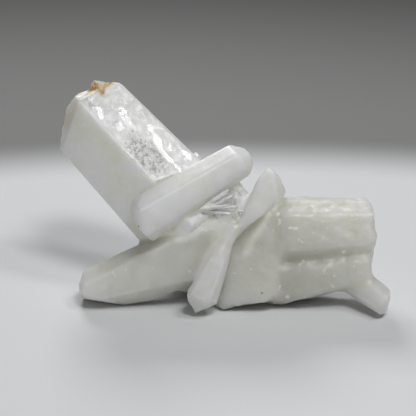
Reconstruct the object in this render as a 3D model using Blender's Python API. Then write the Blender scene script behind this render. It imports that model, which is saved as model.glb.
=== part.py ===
"""A quartz crystal cluster, lying on the ground as it was found.

Several quartz crystals grew through each other from one root, so the cluster is one solid.
Each crystal is grown here by cutting a block along its own crystal faces: six prism faces round
the axis, then the slanted faces of its point, or the flats where the point has broken away.
The crystals are then united, the breaks are scooped out in shells, the way quartz breaks, and the
underside is cut flat where the cluster was broken off its rock.

Lengths are in millimetres and angles in degrees up here, and become metres as the shapes are made.
X runs along the cluster from the great crystal's side to the broken arm, Y runs away from its best
side, Z is up, and the cluster lies on Z = 0.
"""

import math

import bmesh
import bpy
from mathutils import Matrix, Vector, noise

MM = 0.001

# Quartz's own angles: six prism faces, and a point whose faces lean this far from the base plane
PRISM_STEP = 60.0
POINT_LEAN = 51.8

# The best side faces the front and a little up. A crystal's turn is counted round its axis from here
BEST_SIDE = Vector((0.0, -math.cos(math.radians(20.0)), math.sin(math.radians(20.0))))

# A crystal edge is worn to a narrow flat of this width
WORN_EDGE = 0.35

# Each crystal: root and end are the ends of its axis, faces are the six distances from the axis to
# the prism faces, counted from the turn onwards, and taper narrows it towards the end, or widens it
# where it is negative, for all its faces or one by one. point gives, for each face of the point, how
# far behind the end it crosses the axis, or in front of it where it is negative.
# breaks are flat breaks: a place on the break and the way that it faces.
CRYSTALS = {
    "great": {
        "root": (-4.4, 2.6, 22.7),
        "end": (-47.5, 25.1, 66.9),
        "faces": (16.2, 17.2, 16.0, 16.5, 17.4, 16.2),
        "turn": 30.0,
        "taper": (1.5, 4.5, 1.0, 0.0, 0.0, 0.0),
        "breaks": (
            ((-52.6, 10.5, 55.0), (-0.92, -0.25, 0.29)),
            ((-54.2, 18.1, 53.5), (-1.0, 0.03, 0.08)),
            ((-52.5, 23.5, 62.5), (-0.97, 0.09, 0.23)),
            ((-42.1, 13.4, 75.5), (-0.32, 0.35, 0.88)),
            ((-32.3, 20.4, 74.3), (0.44, 0.35, 0.83)),
        ),
    },
    "crossing": {
        "root": (-31.6, -15.1, 29.2),
        "end": (14.9, 1.0, 52.7),
        "faces": (6.8, 6.9, 6.9, 6.6, 7.0, 6.9),
        "turn": 10.0,
        "taper": (1.5, 3.5, 3.0, 1.0, 1.5, 1.5),
        "point": (-3.8, -3.4, -4.4, -4.0, -4.2, -3.2),
        "breaks": (
            ((-26.1, -13.1, 35.2), (-0.97, -0.24, -0.03)),
            ((-22.9, -11.4, 42.3), (-0.62, -0.15, 0.77)),
            ((-24.0, -13.0, 29.9), (-0.74, -0.2, -0.64)),
        ),
    },
    "blade_foot": {
        "root": (6.2, -15.6, 25.2),
        "end": (-4.9, -24.3, 0.9),
        "faces": (4.1, 4.6, 4.2, 4.4, 4.4, 4.4),
        "turn": 5.0,
        "taper": (-5.0, -6.0, -6.0, -4.0, -6.0, -6.0),
        "point": (1.0, -1.5, 1.0, 1.0, 0.5, 1.0),
    },
    "blade_head": {
        "root": (7.7, -14.0, 23.7),
        "end": (23.1, -1.3, 47.5),
        "faces": (4.2, 9.0, 9.0, 4.0, 9.0, 9.0),
        "turn": 10.0,
        "breaks": (
            ((13.8, -8.5, 27.3), (0.69, -0.25, -0.68)),
            ((21.8, -6.1, 33.8), (0.56, -0.28, -0.78)),
            ((14.3, -4.9, 37.2), (-0.92, 0.13, 0.36)),
            ((17.6, -2.3, 44.3), (-0.78, 0.21, 0.58)),
            ((24.6, 0.5, 46.0), (0.72, 0.24, 0.65)),
            ((27.4, -1.2, 41.5), (0.92, 0.13, 0.36)),
            ((27.4, -2.8, 36.9), (0.73, -0.23, -0.64)),
            ((25.1, -6.1, 42.7), (0.85, -0.45, 0.27)),
        ),
    },
    "blade_waist": {
        "root": (10.3, -12.5, 30.9),
        "end": (3.4, -17.5, 20.0),
        "faces": (2.9, 2.5, 2.5, 3.6, 2.5, 2.5),
        "turn": 15.0,
    },
    "low_arm": {
        "root": (14.0, -7.0, 21.2),
        "end": (-47.1, -9.8, 6.2),
        "faces": (8.6, 10.0, 9.6, 9.4, 11.0, 10.2),
        "turn": 0.0,
        "taper": (1.0, 11.0, 9.0, 3.0, 6.0, 2.0),
        "breaks": (
            ((-45.8, -12.9, 9.3), (-0.97, -0.15, 0.16)),
            ((-35.8, -13.6, 1.5), (-0.15, -0.43, -0.89)),
            ((-17.3, -14.7, 4.3), (0.34, -0.41, -0.85)),
            ((7.9, -14.7, 24.8), (0.89, -0.15, -0.42)),
        ),
    },
    "heart": {
        "root": (-14.9, -3.6, 11.5),
        "end": (17.6, 4.0, 32.2),
        "faces": (12.0, 12.0, 12.0, 12.0, 14.0, 12.0),
        "turn": -25.0,
    },
    "keel": {
        "root": (20.0, 0.4, 30.7),
        "end": (13.0, -14.8, -5.3),
        "faces": (9.0, 12.0, 10.0, 10.0, 11.0, 13.2),
        "turn": 10.0,
        "breaks": (
            ((9.1, -19.7, 2.3), (0.15, -0.34, -0.93)),
            ((21.7, -18.9, 4.6), (0.27, -0.33, -0.91)),
        ),
    },
    "broken_arm": {
        "root": (17.5, -2.2, 27.0),
        "end": (62.6, -3.9, 28.0),
        "faces": (11.0, 13.8, 11.0, 11.0, 10.0, 8.5),
        "turn": -7.0,
        "taper": (0.0, 4.0, 6.0, 0.0, 0.0, 0.0),
        "breaks": (
            ((59.9, -7.3, 30.6), (0.99, -0.06, 0.12)),
            ((24.9, -11.6, 29.5), (-0.75, -0.62, 0.23)),
        ),
    },
    "arm_ledge": {
        "root": (22.7, -1.0, 30.3),
        "end": (48.5, -1.0, 30.3),
        "faces": (7.0, 7.0, 7.0, 7.0, 7.3, 6.4),
        "turn": -15.0,
    },
    "lower_arm": {
        "root": (17.5, -7.4, 6.9),
        "end": (60.9, -9.7, 12.2),
        "faces": (10.3, 10.0, 9.0, 9.0, 9.5, 10.1),
        "turn": 7.0,
        "breaks": (
            ((58.7, -11.8, 18.1), (0.99, -0.09, 0.05)),
            ((39.4, -16.4, 5.4), (0.23, -0.42, -0.87)),
            ((24.2, -16.8, 12.0), (-0.8, -0.6, 0.0)),
        ),
    },
    "spur": {
        "root": (49.7, -8.0, 11.0),
        "end": (64.1, -24.9, 5.5),
        "faces": (4.2, 5.2, 4.5, 4.5, 5.0, 4.5),
        "turn": 10.0,
        "taper": (2.0, 4.0, 2.0, 2.0, 4.0, 2.0),
        "breaks": (((64.5, -23.9, 8.2), (0.96, -0.26, -0.14)),),
    },
    "shard_long": {
        "root": (-0.9, -4.9, 35.4),
        "end": (15.5, -5.1, 39.1),
        "faces": (3.0, 3.0, 3.0, 3.0, 3.0, 3.0),
        "turn": 10.0,
        "point": (1.0, 0.0, 1.0, 2.0, 0.0, 1.0),
    },
    "shard_low": {
        "root": (-1.7, -5.4, 35.6),
        "end": (11.6, -10.1, 31.6),
        "faces": (2.6, 2.6, 2.6, 2.6, 2.6, 2.6),
        "turn": -10.0,
        "point": (1.0, 0.0, 1.0, 2.0, 0.0, 1.0),
    },
    "shard_up": {
        "root": (7.8, -5.7, 32.0),
        "end": (12.6, -3.2, 37.6),
        "faces": (2.0, 2.2, 2.0, 2.0, 2.2, 2.0),
        "turn": 20.0,
        "point": (0.0, 1.0, 1.0, 0.0, 0.0, 1.0),
    },
    "sliver": {
        "root": (-4.4, 6.0, 43.6),
        "end": (-3.9, 9.2, 52.4),
        "faces": (1.8, 1.6, 1.8, 1.8, 1.6, 1.8),
        "turn": 20.0,
        "point": (0.0, 1.0, 1.0, 0.0, 0.0, 1.0),
    },
    "rock_side": {
        "root": (1.0, 7.0, 25.0),
        "end": (4.0, 10.0, -4.0),
        "faces": (10.0, 12.5, 9.5, 11.0, 13.0, 11.0),
        "turn": 26.0,
        "taper": (-6.0, -14.0, -20.0, -9.0, -16.0, -8.0),
    },
    "back_point": {
        "root": (12.0, 4.0, 20.0),
        "end": (37.0, 26.0, 17.0),
        "faces": (5.6, 6.0, 5.2, 5.8, 5.4, 6.0),
        "turn": 8.0,
        "taper": 1.0,
        "point": (0.0, 1.0, 2.5, 0.0, 1.0, 2.0),
    },
    "back_stub": {
        "root": (-2.0, 6.0, 12.0),
        "end": (-18.0, 24.0, 5.0),
        "faces": (5.4, 6.0, 5.2, 5.6, 5.4, 5.8),
        "turn": 20.0,
        "taper": 1.0,
        "point": (1.0, 2.5, 0.0, 1.0, 3.0, 0.0),
    },
}

# Breaks in shells: a place on the surface, the way it faces there, and the shell's radius and depth
SCOOPS = (
    ((-43.0, 12.0, 74.0), (-0.4, -0.05, 0.9), 22.0, 1.5),
    ((-35.0, 19.0, 74.5), (-0.1, 0.4, 0.9), 14.0, 1.3),
    ((-43.0, 25.0, 70.0), (-0.5, 0.5, 0.7), 26.0, 3.0),
    ((-33.0, 33.0, 66.0), (0.1, 0.7, 0.7), 20.0, 2.6),
    ((-52.5, 15.0, 62.0), (-0.95, -0.1, 0.3), 24.0, 1.1),
    ((-51.5, 27.0, 56.0), (-0.95, 0.3, 0.15), 22.0, 2.2),
    ((60.8, -9.5, 31.0), (0.97, -0.25, 0.1), 9.0, 1.3),
    ((61.0, -3.0, 26.0), (0.97, 0.1, -0.1), 15.0, 1.6),
    ((61.0, -11.0, 23.5), (0.93, -0.35, -0.1), 7.0, 1.2),
    ((61.0, 0.0, 34.0), (0.92, 0.2, 0.4), 14.0, 1.8),
    ((59.2, -5.0, 15.5), (0.96, 0.1, 0.25), 8.5, 1.2),
    ((59.2, -13.5, 15.5), (0.96, -0.1, 0.2), 6.0, 0.8),
    ((-46.5, -11.5, 9.5), (-0.98, -0.15, 0.1), 9.0, 1.0),
    ((-45.8, -15.0, 4.5), (-0.8, -0.5, -0.3), 7.0, 1.1),
    ((-45.5, -5.0, 8.0), (-0.85, 0.45, 0.1), 10.0, 1.6),
)

# A shell's waves, as a share of its radius, and how many there are round it
SHELL_WAVES = 0.035
SHELL_WAVE_COUNT = 2.6


def cut_away(mesh, place, facing):
    """Cuts off what lies in front of a plane, and closes the cut."""
    shape = mesh.verts[:] + mesh.edges[:] + mesh.faces[:]
    cut = bmesh.ops.bisect_plane(
        mesh, geom=shape, plane_co=place, plane_no=facing, clear_outer=True, dist=1e-7
    )
    rim = [piece for piece in cut["geom_cut"] if isinstance(piece, bmesh.types.BMEdge)]
    if rim:
        bmesh.ops.edgeloop_fill(mesh, edges=rim)


def make_object(name, mesh, home):
    data = bpy.data.meshes.new(name)
    bmesh.ops.recalc_face_normals(mesh, faces=mesh.faces[:])
    if mesh.calc_volume(signed=True) < 0.0:
        bmesh.ops.reverse_faces(mesh, faces=mesh.faces[:])
    mesh.to_mesh(data)
    mesh.free()
    thing = bpy.data.objects.new(name, data)
    home.objects.link(thing)
    return thing


def grow_crystal(name, spec, home):
    root = Vector(spec["root"]) * MM
    end = Vector(spec["end"]) * MM
    axis = (end - root).normalized()
    front = (BEST_SIDE - BEST_SIDE.dot(axis) * axis).normalized()
    side = axis.cross(front)
    taper = spec.get("taper", 0.0)
    tapers = taper if isinstance(taper, tuple) else (taper,) * 6
    lean = math.radians(POINT_LEAN)
    middle = (root + end) / 2
    length = (end - root).length

    mesh = bmesh.new()
    bmesh.ops.create_cube(mesh, size=3 * length + 0.1, matrix=Matrix.Translation(middle))
    cut_away(mesh, root, -axis)
    cut_away(mesh, end, axis)
    for number, distance in enumerate(spec["faces"]):
        angle = math.radians(spec["turn"] + PRISM_STEP * number)
        outwards = math.cos(angle) * front + math.sin(angle) * side
        tilt = math.radians(tapers[number])
        facing = math.cos(tilt) * outwards + math.sin(tilt) * axis
        cut_away(mesh, middle + distance * MM * outwards, facing)
        if "point" in spec:
            facing = math.sin(lean) * outwards + math.cos(lean) * axis
            cut_away(mesh, end - spec["point"][number] * MM * axis, facing)
    for place, facing in spec.get("breaks", ()):
        cut_away(mesh, Vector(place) * MM, Vector(facing).normalized())

    wear = min(WORN_EDGE, 0.12 * min(spec["faces"])) * MM
    bmesh.ops.bevel(
        mesh, geom=mesh.edges[:], offset=wear, segments=1, affect="EDGES", clamp_overlap=True
    )
    bmesh.ops.remove_doubles(mesh, verts=mesh.verts[:], dist=0.02 * MM)
    return make_object(name, mesh, home)


def make_shell(number, place, facing, radius, depth, home):
    """A wavy ball that takes a shallow, shell-like bite out of the surface."""
    centre = Vector(place) + Vector(facing).normalized() * (radius - depth)
    mesh = bmesh.new()
    bmesh.ops.create_icosphere(mesh, subdivisions=5 if radius > 12.0 else 4, radius=1.0)
    for vert in mesh.verts:
        wave = noise.noise(SHELL_WAVE_COUNT * vert.co + Vector((7.0 * number, 0.0, 0.0)))
        vert.co = (centre + radius * (1.0 + SHELL_WAVES * wave) * vert.co) * MM
    return make_object(f"shell_{number:02d}", mesh, home)


def make_ground(home):
    """What is cut off the underside to leave the flat that the cluster lies on."""
    mesh = bmesh.new()
    size = Matrix.Diagonal((0.3, 0.3, 0.1, 1.0))
    bmesh.ops.create_cube(mesh, size=1.0, matrix=Matrix.Translation((0.0, 0.0, -0.05)) @ size)
    return make_object("under_side", mesh, home)


def new_collection(name):
    home = bpy.data.collections.new(name)
    bpy.context.scene.collection.children.link(home)
    return home


def quartz():
    material = bpy.data.materials.new("quartz")
    material.use_nodes = True
    shader = material.node_tree.nodes["Principled BSDF"]
    shader.inputs["Base Color"].default_value = (0.82, 0.83, 0.8, 1.0)
    shader.inputs["Roughness"].default_value = 0.28
    shader.inputs["IOR"].default_value = 1.544
    shader.inputs["Transmission Weight"].default_value = 0.6
    return material


def unite(body, others, kind):
    step = body.modifiers.new(others.name, "BOOLEAN")
    step.operation = kind
    step.operand_type = "COLLECTION"
    step.collection = others
    step.solver = "EXACT"


def centre(body, things):
    """Moves everything so that the cluster's middle stands over the origin, and its foot on it."""
    bpy.context.view_layer.update()
    shape = body.evaluated_get(bpy.context.evaluated_depsgraph_get())
    corners = [Vector(corner) for corner in shape.bound_box]
    low = Vector(min(corner[axis] for corner in corners) for axis in range(3))
    high = Vector(max(corner[axis] for corner in corners) for axis in range(3))
    middle = Vector(((low.x + high.x) / 2, (low.y + high.y) / 2, low.z))
    for thing in things:
        thing.data.transform(Matrix.Translation(-middle))


def main():
    for old in list(bpy.data.objects):
        bpy.data.objects.remove(old)
    cluster = new_collection("quartz_cluster")
    crystals = new_collection("grown_together")
    breaks = new_collection("broken_away")

    body = grow_crystal("quartz_cluster", CRYSTALS["great"], cluster)
    body.data.materials.append(quartz())
    for name, spec in CRYSTALS.items():
        if name != "great":
            grow_crystal(name, spec, crystals)
    for number, scoop in enumerate(SCOOPS):
        make_shell(number, *scoop, breaks)
    make_ground(breaks)
    for helper in crystals.objects[:] + breaks.objects[:]:
        helper.hide_render = True
        helper.display_type = "WIRE"

    unite(body, crystals, "UNION")
    unite(body, breaks, "DIFFERENCE")
    centre(body, [body] + crystals.objects[:] + breaks.objects[:])


main()
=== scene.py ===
import math

import bmesh
import bpy
import numpy as np
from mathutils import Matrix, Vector, kdtree, noise


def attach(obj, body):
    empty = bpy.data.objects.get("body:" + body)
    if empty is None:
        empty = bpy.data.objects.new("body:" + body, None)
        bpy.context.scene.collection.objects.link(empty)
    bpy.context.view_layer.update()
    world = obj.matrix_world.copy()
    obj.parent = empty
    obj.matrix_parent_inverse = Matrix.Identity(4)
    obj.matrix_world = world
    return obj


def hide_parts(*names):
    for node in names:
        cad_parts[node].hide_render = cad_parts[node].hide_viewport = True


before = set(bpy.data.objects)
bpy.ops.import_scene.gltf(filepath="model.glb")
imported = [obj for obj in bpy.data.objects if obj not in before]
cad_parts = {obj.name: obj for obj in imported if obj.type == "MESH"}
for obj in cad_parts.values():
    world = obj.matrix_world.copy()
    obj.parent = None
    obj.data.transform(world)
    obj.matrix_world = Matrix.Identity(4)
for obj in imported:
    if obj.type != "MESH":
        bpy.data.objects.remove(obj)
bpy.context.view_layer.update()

perMetre = 1000.0  # mm in a metre
partMiddle = (5.5, 6.9, 0.0)  # where the part's own middle lies before it is centred, in mm

# Each crystal's root and end on its axis, before the part is centred, and its mean radius, in mm
crystals = {
    "great": dict(root=(-4.4, 2.6, 22.7), end=(-47.5, 25.1, 66.9), radius=16.5),
    "crossing": dict(root=(-31.6, -15.1, 29.2), end=(14.9, 1.0, 52.7), radius=7.3),
    "foot": dict(root=(6.2, -15.6, 25.2), end=(-4.9, -24.3, 0.9), radius=4.6),
    "waist": dict(root=(10.3, -12.5, 30.9), end=(3.4, -17.5, 20.0), radius=2.8),
    "head": dict(root=(7.7, -14.0, 23.7), end=(23.1, -1.3, 47.5), radius=6.5),
    "lowArm": dict(root=(14.0, -7.0, 21.2), end=(-47.1, -9.8, 6.2), radius=9.6),
    "heart": dict(root=(-14.9, -3.6, 11.5), end=(17.6, 4.0, 32.2), radius=12.4),
    "keel": dict(root=(20.0, 0.4, 30.7), end=(13.0, -14.8, -5.3), radius=10.9),
    "brokenArm": dict(root=(17.5, -2.2, 27.0), end=(62.6, -3.9, 28.0), radius=10.4),
    "lowerArm": dict(root=(17.5, -7.4, 6.9), end=(60.9, -9.7, 12.2), radius=9.6),
    "spur": dict(root=(49.7, -8.0, 11.0), end=(64.1, -24.9, 5.5), radius=4.7),
    "shardLong": dict(root=(-0.9, -4.9, 35.4), end=(15.5, -5.1, 39.1), radius=3.0),
    "shardLow": dict(root=(-1.7, -5.4, 35.6), end=(11.6, -10.1, 31.6), radius=2.6),
    "shardUp": dict(root=(7.8, -5.7, 32.0), end=(12.6, -3.2, 37.6), radius=2.0),
    "rockSide": dict(root=(1.0, 7.0, 25.0), end=(4.0, 10.0, -4.0), radius=11.5),
    "backPoint": dict(root=(12.0, 4.0, 20.0), end=(37.0, 26.0, 17.0), radius=5.7),
    "backStub": dict(root=(-2.0, 6.0, 12.0), end=(-18.0, 24.0, 5.0), radius=5.7),
}

# How clear, lumpy and soft-edged each crystal is, how far its seams are grown over, and how much painted
# shade darkens its colour
shardLook = dict(clear=0.35, lumpy=0.2, soft=0.0, merge=0.0, deep=0.0)
looks = {
    "great": dict(clear=0.12, lumpy=0.12, soft=0.0, merge=0.0, deep=0.0),
    "crossing": dict(clear=0.13, lumpy=0.25, soft=0.06, merge=0.4, deep=0.0),
    "foot": dict(clear=0.14, lumpy=0.15, soft=0.0, merge=0.9, deep=0.15),
    "waist": dict(clear=0.12, lumpy=0.25, soft=0.8, merge=1.0, deep=0.2),
    "head": dict(clear=0.14, lumpy=0.2, soft=0.04, merge=0.8, deep=0.1),
    "lowArm": dict(clear=0.15, lumpy=0.3, soft=0.12, merge=0.5, deep=0.9),
    "heart": dict(clear=0.1, lumpy=0.8, soft=0.8, merge=0.9, deep=1.15),
    "keel": dict(clear=0.1, lumpy=1.0, soft=0.9, merge=1.0, deep=1.0),
    "brokenArm": dict(clear=0.1, lumpy=0.8, soft=0.3, merge=0.9, deep=1.3),
    "lowerArm": dict(clear=0.15, lumpy=1.1, soft=0.7, merge=1.0, deep=1.4),
    "spur": dict(clear=0.14, lumpy=0.2, soft=0.06, merge=0.6, deep=1.2),
    "shardLong": shardLook,
    "shardLow": shardLook,
    "shardUp": shardLook,
    "rockSide": dict(clear=0.0, lumpy=1.4, soft=0.6, merge=1.0, deep=1.0),
    "backPoint": dict(clear=0.14, lumpy=0.2, soft=0.2, merge=0.4, deep=0.3),
    "backStub": dict(clear=0.15, lumpy=0.3, soft=0.3, merge=0.5, deep=0.5),
}

# The great crystal's bright face: its outward side, which normals count as on it, and how clear it is
brightFace = dict(normal=(0.325, -0.676, 0.661), facing=(0.9, 0.97), clear=0.3)
bestSide = (0.0, -0.94, 0.342)  # the side that the other crystals turn to the camera

# White streaks just under the bright face, partly healed cracks and partly painted glints. Each starts so
# far from the root and to the side, and runs back towards the root for its length, turned off the axis by
# its lean, in mm and degrees
cracksAndGlints = {
    "longest": dict(along=50.0, across=1.0, length=12.0, lean=-15.0, width=1.9),
    "leftOfIt": dict(along=47.0, across=-3.5, length=7.5, lean=-14.0, width=1.7),
    "upper": dict(along=40.0, across=5.5, length=6.0, lean=-10.0, width=0.8),
    "knot": dict(along=33.5, across=4.0, length=1.5, lean=-20.0, width=1.6),
    "bend": dict(along=32.5, across=4.5, length=3.5, lean=-42.0, width=0.9),
    "lower": dict(along=30.0, across=2.0, length=6.0, lean=5.0, width=1.1),
    "lowest": dict(along=22.0, across=2.5, length=3.0, lean=4.0, width=0.7),
    "fine": dict(along=29.5, across=6.5, length=3.5, lean=-20.0, width=0.5),
    "corner": dict(along=24.5, across=9.0, length=3.5, lean=0.0, width=1.0),
    "edge": dict(along=36.5, across=-8.5, length=6.5, lean=-9.0, width=0.7),
}
# A zigzag row of short white strokes down from the broken end: painted glints
paintedGlintZigzag = dict(count=4, along=62.0, step=2.7, across=-6.2, length=2.0, lean=25.0, width=1.3)

# What else marks the great crystal, in mm from its root along its axis and across the bright face
rimLedge = dict(
    across=4.6, width=4.6, height=1.7, along=(54.5, 57.5), out=(7.0, 10.0), ragged=0.25, raggedSize=1.3,
)
crushed = dict(centre=(31.8, -3.4), reach=(13.5, 6.4), fade=(0.5, 1.15))  # mottled brown and white patch; its white crumbs are partly painted sparkle
rimRust = dict(along=(57.0, 60.5), fade=(5.0, 11.0), least=0.35, offFace=0.75)  # over the broken end
sideRust = dict(along=(38.0, 56.0), across=(8.0, 10.0), share=0.45)  # down the side next to it
stain = dict(along=(57.0, 58.8), across=3.2, fade=(3.6, 5.6), share=1.2)  # the ledge's darker band

deepHeart = dict(place=(0.0, -14.0, 10.0), inner=8.0, outer=105.0)  # centre of the painted shade, low in the middle of the cluster, fading out by the outer distance, in mm
paleHollow = dict(place=(0.0, -15.0, 36.0), inner=7.0, outer=13.0)  # round the shards the painted shade and the painted seam shade fade out, leaving the rock there lighter, in mm

# Small spots of colour: the pixel of the picture where each shows, and its radius in mm. The white and
# near-white ones are painted glints, the first three on white chips
spots = {
    "rust": dict(pixel=(138.5, 226.5), radius=0.75, colour="C08A3C"),
    "brown": dict(pixel=(262.0, 293.0), radius=0.7, colour="B3A492"),
    "speck": dict(pixel=(132.5, 131.0), radius=0.7, colour="A79F82"),
    # White spots: painted glints, the first three partly white chips
    "chipAndGlintRight": dict(pixel=(278.0, 214.0), radius=1.1, colour="FFFFFF"),
    "chipAndGlintLow": dict(pixel=(287.5, 297.0), radius=1.1, colour="FFFFFF"),
    "chipAndGlintMid": dict(pixel=(243.0, 204.0), radius=1.4, colour="FFFFFF"),
    "paintedGlintLeft": dict(pixel=(90.5, 164.0), radius=0.9, colour="FBF6EC"),
}

# Clear shards that fan out between the crossing crystal and the blade, in mm and degrees
shards = {
    "Count": 15, "Lean From": -22.0, "Lean To": 50.0, "Shortest": 9.0, "Longest": 15.5, "Ceiling": 7.0,
    "Thinnest": 0.8, "Thickest": 1.7, "Seed": 11,
    "Root": (-7.0, -14.8, 35.4), "Scatter": (2.0, 1.2, 0.8),
}

# The skin over the solid: sizes in mm, and rounds of smoothing. Each crystal's growth lines are shifted
# by grownShift, so that no two have the same
skin = dict(
    voxel=0.45, keep=0.58, soften=2, melt=130, meltReach=4.0, lookRounds=12, borderRounds=6,
    lump=0.4, lumpSize=7.0, ripple=1.1, rippleSize=2.8, nick=0.15, nickSize=1.7,
    edgeWidth=0.6, seamWidth=2.0, endFacing=(0.55, 0.75), floorGap=0.02, grownShift=37.0,
)
crease = dict(turn=14.0, step=0.5, weld=1e-6)  # degrees, mm between points, and metres

quartz = dict(ior=1.544, absorbs="E4E6D6", density=8.0, scatter=0.016)  # light scatters 16 mm deep
# The bluish white on the great crystal's bright face is a painted sheen
# The darker tone on the low middle of the cluster is painted shade
# The warm darker tint in the seams is painted shade in the creases
# The whiter convex edges are partly rubbed wear, partly a painted highlight along them
colours = dict(
    milkLow="F1F1E8", milkHigh="FBFBF9", veil="FFFFFE", deep="C8C7BD", face="F8FAFC", seamShade="D4D1BE",
    worn="FAFAF8", crumb="A9A599", white="FFFFFF", rustPale="DCC493", rustDark="BC8B3E",
    shardLow="FBFBF7", room="F2F4F8", floorNear="DCDDDE", floorMid="80807F", floorFar="3E3E3D",
)
floorTurn = dict(near=(0.125, 0.185), far=(0.18, 0.6), widen=(0.6, 1.0, 1.0), size=4.0)  # metres

camera = dict(elevation=20.0, distance=0.6, lens=142.8, target=(-0.0055, -0.0069, 0.033))
picture = dict(width=416, film=36.0)  # the picture's width in pixels, and the camera's film in mm

roomStrength = 0.1
lights = {
    "key": dict(place=(0.20, -0.50, 0.84), size=0.25, power=3.8),
    "rear": dict(place=(-0.18, 0.76, 0.64), size=0.3, power=4.6),
    "fill": dict(place=(-0.60, -0.72, 0.36), size=0.8, power=0.75),
    "glint": dict(place=(0.482, -0.204, 0.894), size=0.18, power=1.7),  # mirrored by the bright face
}


def linear(hexColour):
    channels = [int(hexColour[i : i + 2], 16) / 255.0 for i in (0, 2, 4)]
    return tuple(
        c / 12.92 if c <= 0.04045 else ((c + 0.055) / 1.055) ** 2.4 for c in channels
    ) + (1.0,)


def feed(tree, socket, value):
    if isinstance(value, bpy.types.NodeSocket):
        tree.links.new(value, socket)
    else:
        socket.default_value = value


def addNode(tree, kind, settings=None, inputs=None):
    made = tree.nodes.new(kind)
    for name, value in (settings or {}).items():
        setattr(made, name, value)
    for name, value in (inputs or {}).items():
        feed(tree, made.inputs[name], value)
    return made


def blend(tree, factor, low, high):
    colourSockets = {0: factor, 6: low, 7: high}
    return addNode(tree, "ShaderNodeMix", {"data_type": "RGBA"}, colourSockets).outputs[2]


def tint(tree, factor, under, name):
    return blend(tree, factor, under, linear(colours[name]))


def spread(tree, value, low, high, toLow=0.0, toHigh=1.0):
    made = addNode(
        tree,
        "ShaderNodeMapRange",
        {"interpolation_type": "SMOOTHSTEP"},
        {"Value": value, "From Min": low, "From Max": high, "To Min": toLow, "To Max": toHigh},
    )
    return made.outputs["Result"]


def combine(tree, operation, first, second):
    made = addNode(tree, "ShaderNodeMath", {"operation": operation}, {0: first, 1: second})
    return made.outputs[0]


def times(tree, first, second):
    return combine(tree, "MULTIPLY", first, second)


def clouds(tree, vector, scale, detail=3.0, roughness=0.5, stretch=None):
    if stretch:
        vector = addNode(
            tree, "ShaderNodeVectorMath", {"operation": "MULTIPLY"}, {0: vector, 1: stretch}
        ).outputs[0]
    made = addNode(
        tree,
        "ShaderNodeTexNoise",
        None,
        {"Vector": vector, "Scale": scale, "Detail": detail, "Roughness": roughness},
    )
    return made.outputs["Fac"]


def attribute(tree, name, output="Fac"):
    return addNode(tree, "ShaderNodeAttribute", {"attribute_name": name}).outputs[output]


def smoothStep(values, low, high):
    t = np.clip((values - low) / (high - low), 0.0, 1.0)
    return t * t * (3.0 - 2.0 * t)


def meshLinks(mesh):
    pairs = np.empty(len(mesh.edges) * 2, dtype=np.int64)
    mesh.edges.foreach_get("vertices", pairs)
    pairs = pairs.reshape(-1, 2)
    ends = np.concatenate([pairs[:, 0], pairs[:, 1]])
    others = np.concatenate([pairs[:, 1], pairs[:, 0]])
    return ends, others, np.bincount(ends, minlength=len(mesh.vertices))


def relax(values, links, rounds, weight=0.5):
    ends, others, count = links
    for _ in range(rounds):
        values = values + weight * (np.bincount(ends, values[others], len(values)) / count - values)
    return values


def nearestCrystal(points, normals, links):
    scores = []
    for name, facts in crystals.items():
        root, end = crystalEnds(name)
        length = np.linalg.norm(end - root)
        axis = (end - root) / length
        along = (points - root) @ axis
        outside = np.maximum(0.0, -along) + np.maximum(0.0, along - length)
        away = np.linalg.norm(points - root - along[:, None] * axis, axis=1)
        slant = np.abs(normals @ axis)
        misfit = np.abs(away - facts["radius"]) + 0.8 * outside + 3.0 * slant
        scores.append(relax(misfit, links, 10))
    return np.argmin(scores, axis=0)


def crystalEnds(name):
    return tuple(np.array(crystals[name][key]) - np.array(partMiddle) for key in ("root", "end"))


def axisFrame(root, end, bestSide):
    axis = (Vector(end) - Vector(root)).normalized()
    front = (bestSide - bestSide.dot(axis) * axis).normalized()
    return np.array([axis.cross(front), front, axis])


def crystalFrame(name):
    side = Vector(brightFace["normal"] if name == "great" else bestSide)
    return axisFrame(*crystalEnds(name), side)


def readPoints(mesh):
    points = np.empty(len(mesh.vertices) * 3)
    mesh.vertices.foreach_get("co", points)
    normals = np.empty(len(mesh.vertices) * 3)
    mesh.vertices.foreach_get("normal", normals)
    return points.reshape(-1, 3) * perMetre, normals.reshape(-1, 3)


def writePoints(mesh, points):
    mesh.vertices.foreach_set("co", (points / perMetre).ravel())
    mesh.update()


def weldedMesh(node):
    work = bmesh.new()
    work.from_mesh(node.data)
    bmesh.ops.remove_doubles(work, verts=work.verts[:], dist=crease["weld"])
    return work


def creaseTrees(node):
    work = weldedMesh(node)
    found = {"edge": [], "seam": []}
    for edge in work.edges:
        turn = math.degrees(edge.calc_face_angle_signed(0.0))
        if abs(turn) < crease["turn"]:
            continue
        first, last = (vert.co * perMetre for vert in edge.verts)
        steps = max(1, int((last - first).length / crease["step"]))
        kind = "edge" if turn > 0.0 else "seam"
        found[kind] += [first.lerp(last, i / steps) for i in range(steps + 1)]
    work.free()
    trees = {}
    for kind, places in found.items():
        trees[kind] = kdtree.KDTree(len(places))
        for i, place in enumerate(places):
            trees[kind].insert(place, i)
        trees[kind].balance()
    return trees


def nearCrease(tree, points, reach):
    away = np.array([tree.find(point)[2] for point in points])
    return 1.0 - smoothStep(away, 0.0, reach)


def applyModifiers(piece):
    graph = bpy.context.evaluated_depsgraph_get()
    before = piece.data
    mesh = bpy.data.meshes.new_from_object(piece.evaluated_get(graph))
    piece.modifiers.clear()
    piece.data = mesh
    bpy.data.meshes.remove(before)


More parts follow.
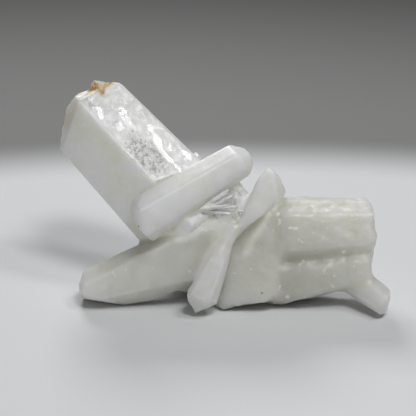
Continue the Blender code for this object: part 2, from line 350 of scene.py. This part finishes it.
def buildCluster(node):
    mesh = bpy.data.meshes.new("clusterSkin")
    work = weldedMesh(node)
    work.to_mesh(mesh)
    work.free()
    piece = bpy.data.objects.new("clusterSkin", mesh)
    bpy.context.scene.collection.objects.link(piece)
    step = piece.modifiers.new("remesh", "REMESH")
    step.mode = "VOXEL"
    step.voxel_size = skin["voxel"] / perMetre
    step.use_smooth_shade = True
    smooth = piece.modifiers.new("soften", "SMOOTH")
    smooth.factor = 0.5
    smooth.iterations = skin["soften"]
    applyModifiers(piece)
    return piece


def allCracksAndGlints():
    yield from cracksAndGlints.values()
    for i in range(paintedGlintZigzag["count"]):
        lean = paintedGlintZigzag["lean"] * (-1) ** i
        yield dict(paintedGlintZigzag, along=paintedGlintZigzag["along"] - i * paintedGlintZigzag["step"], lean=lean)


def streakMask(along, across):
    mask = np.zeros(len(along))
    here = np.stack([along, across], axis=1)
    for facts in allCracksAndGlints():
        lean = math.radians(facts["lean"])
        first = np.array([facts["along"], facts["across"]])
        line = facts["length"] * np.array([-math.cos(lean), math.sin(lean)])
        t = np.clip((here - first) @ line / (line @ line), 0.0, 1.0)
        away = np.linalg.norm(here - first - t[:, None] * line, axis=1)
        mask = np.maximum(mask, 1.0 - away / facts["width"])
    return np.clip(mask, 0.0, 1.0)


def meltSeams(points, weight, links):
    for i in range(3):
        points[:, i] = relax(points[:, i], links, skin["melt"], 0.5 * weight)


def raiseRim(points, mine):
    own = crystalFrame("great")
    chosen = np.flatnonzero(mine)
    placed = (points[chosen] - crystalEnds("great")[0]) @ own.T
    across, out, along = placed.T
    lift = smoothStep(along, *rimLedge["along"]) * smoothStep(out, *rimLedge["out"])
    aside = np.abs(across - rimLedge["across"])
    lift *= 1.0 - smoothStep(aside, 0.5 * rimLedge["width"], rimLedge["width"])
    noises = [noise.noise(Vector(point) / rimLedge["raggedSize"]) for point in points[chosen]]
    lift *= 1.0 + rimLedge["ragged"] * np.array(noises)
    points[chosen] += (rimLedge["height"] * lift)[:, None] * own[2]


def zoneFade(points, zone):
    away = np.linalg.norm(points - np.array(zone["place"]), axis=1)
    return smoothStep(away, zone["inner"], zone["outer"])


def crystalBorders(owner, links):
    ends, others, _ = links
    border = np.zeros(len(owner))
    border[ends[owner[ends] != owner[others]]] = 1.0
    return smoothStep(relax(border, links, skin["borderRounds"]), 0.0, 0.12)


def endRust(across, along, face):
    ledge = 1.0 - smoothStep(np.abs(across - rimLedge["across"]), *rimRust["fade"])
    rim = smoothStep(along, *rimRust["along"]) * (rimRust["least"] + (1.0 - rimRust["least"]) * ledge)
    rim *= 1.0 - rimRust["offFace"] * face
    side = smoothStep(across, *sideRust["across"]) * smoothStep(along, *sideRust["along"])
    band = 1.0 - smoothStep(np.abs(across - stain["across"]), *stain["fade"])
    band *= smoothStep(along, *stain["along"])
    return np.maximum(np.maximum(rim, sideRust["share"] * side), stain["share"] * band)


def greatLayers(placed, facing):
    across, along = placed[:, 0], placed[:, 2]
    face = smoothStep(facing, *brightFace["facing"])
    centre, reach = crushed["centre"], crushed["reach"]
    away = np.hypot((along - centre[0]) / reach[0], (across - centre[1]) / reach[1])
    return dict(
        face=face,
        streak=face * streakMask(along, across),
        crush=face * (1.0 - smoothStep(away, *crushed["fade"])),
        rust=endRust(across, along, face),
    )


def roughen(points, normals, lumpy, broken, nearEdge):
    for i, (point, normal) in enumerate(zip(points, normals)):
        spot = Vector(point)
        low = noise.fractal(spot / skin["lumpSize"], 0.9, 2.1, 3)
        fine = noise.noise(spot / skin["rippleSize"])
        rise = skin["lump"] * lumpy[i] * low * (1.0 - 0.7 * nearEdge[i])
        rise += skin["ripple"] * broken[i] * (0.2 + 0.6 * min(1.0, lumpy[i])) * fine
        worn = max(0.0, noise.noise(spot / skin["nickSize"]))
        rise -= skin["nick"] * nearEdge[i] * worn  # nicks along the edges
        points[i] = point + normal * rise


def growSurface(piece, creases):
    mesh = piece.data
    points, normals = readPoints(mesh)
    links = meshLinks(mesh)
    owner = nearestCrystal(points, normals, links)
    names = list(crystals)
    soft, merge, clear, lumpy, deep = (
        relax(np.array([looks[name][key] for name in names])[owner], links, skin["lookRounds"])
        for key in ("soft", "merge", "clear", "lumpy", "deep")
    )
    atEdge, atSeam = (
        nearCrease(creases[kind], points, skin["meltReach"]) for kind in ("edge", "seam")
    )
    meltSeams(points, np.maximum(soft * (0.2 + 0.8 * atEdge), merge * atSeam), links)
    writePoints(mesh, points)
    points, normals = readPoints(mesh)
    nearEdge = nearCrease(creases["edge"], points, skin["edgeWidth"])
    # Round the shards both painted shades fade out
    pale = zoneFade(points, paleHollow)
    # The darker tone computed here is painted shade: strongest low in the middle of the cluster and on the
    # lower crystals
    deep *= (1.0 - zoneFade(points, deepHeart)) * pale
    # Within seamWidth of the concave seams where crystals meet: a warm painted shade
    seam = nearCrease(creases["seam"], points, skin["seamWidth"]) * pale
    local = np.zeros_like(points)
    broken = np.zeros(len(points))
    layers = {key: np.zeros(len(points)) for key in ("face", "streak", "crush", "rust")}
    for number, name in enumerate(names):
        mine = owner == number
        own = crystalFrame(name)
        placed = (points[mine] - crystalEnds(name)[0]) @ own.T
        local[mine] = placed + skin["grownShift"] * number
        broken[mine] = smoothStep(np.abs(normals[mine] @ own[2]), *skin["endFacing"])
        if name == "great":
            for key, values in greatLayers(placed, normals[mine] @ own[1]).items():
                layers[key][mine] = values
    clear += layers["face"] * (brightFace["clear"] - clear)
    roughen(points, normals, lumpy, broken, nearEdge)
    raiseRim(points, owner == names.index("great"))
    points[:, 2] = np.maximum(points[:, 2], skin["floorGap"])
    writePoints(mesh, points)
    mesh.attributes.new("grown", "FLOAT_VECTOR", "POINT").data.foreach_set("vector", local.ravel())
    # The edge whitening is partly rubbed wear, partly a painted highlight along the convex edges
    layers.update(clear=clear, worn=nearEdge, seam=seam, deep=deep)
    layers.update(border=crystalBorders(owner, links))
    for name, values in layers.items():
        mesh.attributes.new(name, "FLOAT", "POINT").data.foreach_set("value", values)


def thinOut(piece):
    step = piece.modifiers.new("thin", "DECIMATE")
    step.ratio = skin["keep"]
    applyModifiers(piece)
    print("cluster skin", len(piece.data.polygons), "faces")


def viewLine():
    tilt = math.radians(camera["elevation"])
    ahead = Vector((0.0, math.cos(tilt), -math.sin(tilt)))
    return Vector(camera["target"]) - camera["distance"] * ahead, ahead


def spotPlaces(piece):
    eye, ahead = viewLine()
    side = Vector((1.0, 0.0, 0.0))
    up = side.cross(ahead)
    middle = 0.5 * picture["width"]
    scale = picture["film"] / camera["lens"] / picture["width"]
    graph = bpy.context.evaluated_depsgraph_get()
    places = []
    for facts in spots.values():
        right, down = facts["pixel"][0] - middle, facts["pixel"][1] - middle
        ray = ahead + scale * (right * side - down * up)
        found, place, _, _ = piece.ray_cast(eye, ray.normalized(), depsgraph=graph)
        if found:
            places.append((facts, tuple(place * perMetre)))
    print("spots on the surface", len(places), "of", len(spots))
    return places


def wisps(tree, vector, scale, width, stretch=None):
    field = clouds(tree, vector, scale, 3.0, 0.5, stretch)
    away = combine(tree, "ABSOLUTE", combine(tree, "SUBTRACT", field, 0.5), 0.0)
    return spread(tree, away, 0.0, width, 1.0, 0.0)


def quartzColour(tree, mm, grown, piece):
    deep = attribute(tree, "deep")
    milk = clouds(tree, mm, 0.09, 5.0, 0.55)  # clouds of about 10 mm
    colour = tint(tree, spread(tree, milk, 0.35, 0.65), linear(colours["milkLow"]), "milkHigh")
    veil = times(tree, wisps(tree, mm, 0.16, 0.03, (1.0, 1.0, 1.6)), 0.4)
    colour = tint(tree, veil, colour, "veil")  # thin white veils inside
    # Darker tone on the low middle of the cluster: painted shade
    colour = tint(tree, times(tree, deep, 0.68), colour, "deep")
    # Bluish white over the bright face: a painted sheen
    colour = tint(tree, times(tree, attribute(tree, "face"), 0.8), colour, "face")
    # Warm darker tint in the concave seams: painted shade in the creases
    colour = tint(tree, times(tree, attribute(tree, "seam"), 0.4), colour, "seamShade")
    # Whiter along the convex edges: partly rubbed wear, partly a painted highlight
    worn = times(tree, attribute(tree, "worn"), spread(tree, deep, 0.0, 1.0, 0.5, 0.1))
    colour = tint(tree, worn, colour, "worn")
    # Grey-brown and white crumbs in the crushed patch; the white ones are partly painted sparkle
    mottle = spread(tree, clouds(tree, mm, 0.75, 5.0, 0.8), 0.43, 0.54)
    crumbsAndSparkle = tint(tree, mottle, linear(colours["crumb"]), "white")
    colour = blend(tree, attribute(tree, "crush"), colour, crumbsAndSparkle)
    # White streaks on the bright face: partly healed cracks, partly painted glints
    colour = tint(tree, streakFactor(tree, grown), colour, "white")
    colour = tint(tree, times(tree, fleckFactor(tree, mm), 0.6), colour, "veil")
    patches = spread(tree, clouds(tree, mm, 0.3, 4.0, 0.6), 0.28, 0.55)
    rust = times(tree, attribute(tree, "rust"), patches)
    colour = tint(tree, times(tree, rust, 0.85), colour, "rustPale")
    streaky = spread(tree, times(tree, rust, clouds(tree, mm, 0.28, 5.0, 0.7)), 0.36, 0.6)
    colour = tint(tree, streaky, colour, "rustDark")
    for facts, centre in spotPlaces(piece):
        away = addNode(tree, "ShaderNodeVectorMath", {"operation": "DISTANCE"}, {0: mm, 1: centre})
        radius = facts["radius"]
        inside = spread(tree, away.outputs["Value"], 0.3 * radius, radius, 1.0, 0.0)
        colour = blend(tree, inside, colour, linear(facts["colour"]))
    return colour


def streakFactor(tree, grown):
    ragged = clouds(tree, grown, 1.0, 3.0, 0.6, (1.2, 1.2, 0.5))
    raised = combine(tree, "ADD", attribute(tree, "streak"), combine(tree, "SUBTRACT", ragged, 0.5))
    return spread(tree, raised, 0.2, 0.42)


def fleckFactor(tree, mm):
    rare = clouds(tree, mm, 0.42, 2.0, 0.4)
    return spread(tree, rare, 0.66, 0.74)  # white flecks of a mm or two


def quartzShader(material):
    material.use_nodes = True
    tree = material.node_tree
    shader = tree.nodes["Principled BSDF"]
    place = addNode(tree, "ShaderNodeTexCoord").outputs["Object"]
    mm = addNode(
        tree, "ShaderNodeVectorMath", {"operation": "SCALE"}, {0: place, "Scale": perMetre}
    ).outputs[0]
    shader.inputs["IOR"].default_value = quartz["ior"]
    inside = addNode(
        tree, "ShaderNodeVolumeAbsorption", None,
        {"Color": linear(quartz["absorbs"]), "Density": quartz["density"]},
    )
    tree.links.new(inside.outputs[0], tree.nodes["Material Output"].inputs["Volume"])
    return tree, shader, mm


def bumpNormal(tree, shader, height, strength):
    bump = addNode(
        tree, "ShaderNodeBump", None, {"Height": height, "Distance": 0.0001, "Strength": strength}
    )
    tree.links.new(bump.outputs[0], shader.inputs["Normal"])


def quartzRoughness(tree, mm, grown, clear, crush):
    rough = spread(tree, clouds(tree, mm, 0.5, 3.0, 0.6), 0.3, 0.7, 0.4, 0.52)
    rough = combine(tree, "SUBTRACT", rough, times(tree, clear, 0.5))
    glassy = combine(tree, "MAXIMUM", times(tree, crush, 0.8), streakFactor(tree, grown))
    rough = combine(tree, "SUBTRACT", rough, times(tree, glassy, 0.3))
    return combine(tree, "MAXIMUM", rough, 0.06)


def quartzHeight(tree, mm, grown, crush):
    inner = spread(tree, attribute(tree, "border"), 0.0, 1.0, 1.0, 0.0)  # lines fade where crystals meet
    lines = times(tree, clouds(tree, grown, 1.0, 2.0, 0.5, (0.08, 0.08, 0.9)), inner)  # growth lines
    grit = times(tree, clouds(tree, mm, 1.3, 3.0, 0.6), spread(tree, crush, 0.0, 1.0, 0.0, 4.0))
    flank = times(tree, attribute(tree, "streak"), 0.8)  # each white streak lies barely proud of the face
    return combine(tree, "ADD", combine(tree, "ADD", lines, grit), flank)


def quartzMaterial(piece):
    material = bpy.data.materials.new("milkyQuartz")  # satin translucent crystal, clouded inside
    tree, shader, mm = quartzShader(material)
    grown = attribute(tree, "grown", "Vector")
    clear = attribute(tree, "clear")
    crush = attribute(tree, "crush")
    tree.links.new(quartzColour(tree, mm, grown, piece), shader.inputs["Base Color"])
    veil = clouds(tree, mm, 0.3, 3.0, 0.5)
    see = times(tree, clear, spread(tree, veil, 0.3, 0.7, 1.3, 0.7))
    see = times(tree, see, spread(tree, attribute(tree, "worn"), 0.0, 1.0, 1.0, 0.5))
    tree.links.new(see, shader.inputs["Transmission Weight"])
    tree.links.new(quartzRoughness(tree, mm, grown, clear, crush), shader.inputs["Roughness"])
    bumpNormal(tree, shader, quartzHeight(tree, mm, grown, crush), 0.4)
    shader.inputs["Subsurface Weight"].default_value = 1.0
    shader.inputs["Subsurface Radius"].default_value = (1.0, 1.0, 0.94)
    shader.inputs["Subsurface Scale"].default_value = quartz["scatter"]
    return material


def clearMaterial():
    material = bpy.data.materials.new("clearQuartz")  # glassy splinters that glint in the lights
    tree, shader, mm = quartzShader(material)
    milk = clouds(tree, mm, 0.5, 3.0)
    tree.links.new(tint(tree, milk, linear(colours["shardLow"]), "white"), shader.inputs["Base Color"])
    tree.links.new(spread(tree, milk, 0.35, 0.65, 0.25, 0.05), shader.inputs["Transmission Weight"])
    rough = spread(tree, clouds(tree, mm, 0.9), 0.3, 0.7, 0.05, 0.2)
    tree.links.new(rough, shader.inputs["Roughness"])
    bumpNormal(tree, shader, clouds(tree, mm, 1.0, 2.0, 0.5, (0.6, 0.6, 2.5)), 0.25)
    return material


def randomNode(tree, kind, low, high, seed, offset):
    first, result = {"FLOAT_VECTOR": (0, 0), "FLOAT": (2, 1)}[kind]
    made = addNode(
        tree, "FunctionNodeRandomValue", {"data_type": kind}, {first: low, first + 1: high}
    )
    tree.links.new(combine(tree, "ADD", seed, offset), made.inputs["Seed"])
    return made.outputs[result]


def shardTree():
    sockets = {int: "NodeSocketInt", float: "NodeSocketFloat", tuple: "NodeSocketVector"}
    tree = bpy.data.node_groups.new("shardFan", "GeometryNodeTree")
    for name, value in shards.items():
        tree.interface.new_socket(name, in_out="INPUT", socket_type=sockets[type(value)])
    tree.interface.new_socket("Quartz", in_out="INPUT", socket_type="NodeSocketMaterial")
    tree.interface.new_socket("Geometry", in_out="OUTPUT", socket_type="NodeSocketGeometry")
    given = addNode(tree, "NodeGroupInput").outputs
    seed = given["Seed"]
    points = addNode(tree, "GeometryNodePoints", None, {"Count": given["Count"]})
    index = addNode(tree, "GeometryNodeInputIndex").outputs[0]
    step = combine(tree, "DIVIDE", index, given["Count"])
    lean = addNode(
        tree, "ShaderNodeMapRange", None,
        {"Value": step, "To Min": given["Lean From"], "To Max": given["Lean To"]},
    ).outputs["Result"]
    lean = combine(tree, "ADD", lean, randomNode(tree, "FLOAT", -4.0, 4.0, seed, 1))
    lean = combine(tree, "MULTIPLY", lean, math.pi / 180.0)
    rise = combine(tree, "SINE", lean, 0.0)
    slant = randomNode(tree, "FLOAT", -0.3, 0.12, seed, 2)
    heading = addNode(
        tree, "ShaderNodeCombineXYZ", None, {0: combine(tree, "COSINE", lean, 0.0), 1: slant, 2: rise}
    ).outputs[0]
    length = randomNode(tree, "FLOAT", given["Shortest"], given["Longest"], seed, 3)
    ceiling = combine(tree, "DIVIDE", given["Ceiling"], combine(tree, "MAXIMUM", rise, 0.25))
    length = combine(tree, "MINIMUM", length, ceiling)
    radius = randomNode(tree, "FLOAT", given["Thinnest"], given["Thickest"], seed, 4)
    size = addNode(tree, "ShaderNodeCombineXYZ", None, {0: radius, 1: radius, 2: length}).outputs[0]
    reach = addNode(
        tree, "ShaderNodeVectorMath", {"operation": "SCALE"}, {0: given["Scatter"], "Scale": -1.0}
    )
    shift = randomNode(tree, "FLOAT_VECTOR", reach.outputs[0], given["Scatter"], seed, 5)
    place = addNode(tree, "ShaderNodeVectorMath", {"operation": "ADD"}, {0: given["Root"], 1: shift})
    placed = addNode(
        tree, "GeometryNodeSetPosition", None,
        {"Geometry": points.outputs[0], "Position": place.outputs[0]},
    )
    turned = addNode(tree, "FunctionNodeAlignRotationToVector", {"axis": "Z"}, {"Vector": heading})
    cone = addNode(
        tree, "GeometryNodeMeshCone", None,
        {"Vertices": 6, "Radius Top": 0.3, "Radius Bottom": 1.0, "Depth": 1.0},
    )
    grown = addNode(
        tree, "GeometryNodeInstanceOnPoints", None,
        {"Points": placed.outputs[0], "Instance": cone.outputs[0],
         "Rotation": turned.outputs[0], "Scale": size},
    )
    solid = addNode(tree, "GeometryNodeRealizeInstances", None, {"Geometry": grown.outputs[0]})
    metres = addNode(
        tree, "GeometryNodeTransform", None,
        {"Geometry": solid.outputs[0], "Scale": (1.0 / perMetre,) * 3},
    )
    dressed = addNode(
        tree, "GeometryNodeSetMaterial", None,
        {"Geometry": metres.outputs[0], "Material": given["Quartz"]},
    )
    addNode(tree, "NodeGroupOutput", None, {0: dressed.outputs[0]})
    return tree


def buildShards():
    piece = bpy.data.objects.new("clearShards", bpy.data.meshes.new("clearShards"))
    bpy.context.scene.collection.objects.link(piece)
    step = piece.modifiers.new("grow", "NODES")
    step.node_group = shardTree()
    material = clearMaterial()
    for socket in step.node_group.interface.items_tree:
        if socket.in_out == "INPUT":
            step[socket.identifier] = material if socket.name == "Quartz" else shards[socket.name]
    applyModifiers(piece)
    print("shards", len(piece.data.polygons), "faces")
    return piece


def floorMaterial():
    material = bpy.data.materials.new("paleCloth")  # pale floor that falls off to grey far away
    material.use_nodes = True
    tree = material.node_tree
    shader = tree.nodes["Principled BSDF"]
    place = addNode(tree, "ShaderNodeTexCoord").outputs["Object"]
    wide = addNode(
        tree, "ShaderNodeVectorMath", {"operation": "MULTIPLY"}, {0: place, 1: floorTurn["widen"]}
    ).outputs[0]
    away = addNode(tree, "ShaderNodeVectorMath", {"operation": "LENGTH"}, {0: wide}).outputs["Value"]
    grey = tint(tree, spread(tree, away, *floorTurn["far"]), linear(colours["floorMid"]), "floorFar")
    near = spread(tree, away, *floorTurn["near"])
    colour = blend(tree, near, linear(colours["floorNear"]), grey)
    tree.links.new(colour, shader.inputs["Base Color"])
    shader.inputs["Roughness"].default_value = 0.9
    return material


def buildFloor():
    mesh = bpy.data.meshes.new("floor")
    work = bmesh.new()
    bmesh.ops.create_grid(work, x_segments=1, y_segments=1, size=floorTurn["size"])
    work.to_mesh(mesh)
    work.free()
    floor = bpy.data.objects.new("floor", mesh)
    bpy.context.scene.collection.objects.link(floor)
    floor.data.materials.append(floorMaterial())


def softLight(name, place, size, power):
    data = bpy.data.lights.new(name, "AREA")
    data.size = size
    data.energy = power
    lamp = bpy.data.objects.new(name, data)
    lamp.location = place
    aim = Vector(camera["target"]) - Vector(place)
    lamp.rotation_euler = aim.to_track_quat("-Z", "Y").to_euler()
    bpy.context.scene.collection.objects.link(lamp)


def buildStudio():
    world = bpy.data.worlds.new("room")
    world.use_nodes = True
    sky = world.node_tree.nodes["Background"]
    sky.inputs["Color"].default_value = linear(colours["room"])
    sky.inputs["Strength"].default_value = roomStrength
    bpy.context.scene.world = world
    bpy.context.scene.view_settings.view_transform = "Standard"
    for name, facts in lights.items():
        softLight(name, **facts)
    print("studio", len(lights), "lights")


def buildCamera():
    data = bpy.data.cameras.new("camera")
    data.lens = camera["lens"]
    eye = bpy.data.objects.new("camera", data)
    eye.location, ahead = viewLine()
    eye.rotation_euler = ahead.to_track_quat("-Z", "Y").to_euler()
    bpy.context.scene.collection.objects.link(eye)
    bpy.context.scene.camera = eye


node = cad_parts["quartz_cluster"]
buildCamera()
buildFloor()
buildStudio()
cluster = buildCluster(node)
growSurface(cluster, creaseTrees(node))
thinOut(cluster)
cluster.data.materials.clear()
cluster.data.materials.append(quartzMaterial(cluster))
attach(cluster, "root")
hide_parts("quartz_cluster")
splinters = buildShards()
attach(splinters, "root")
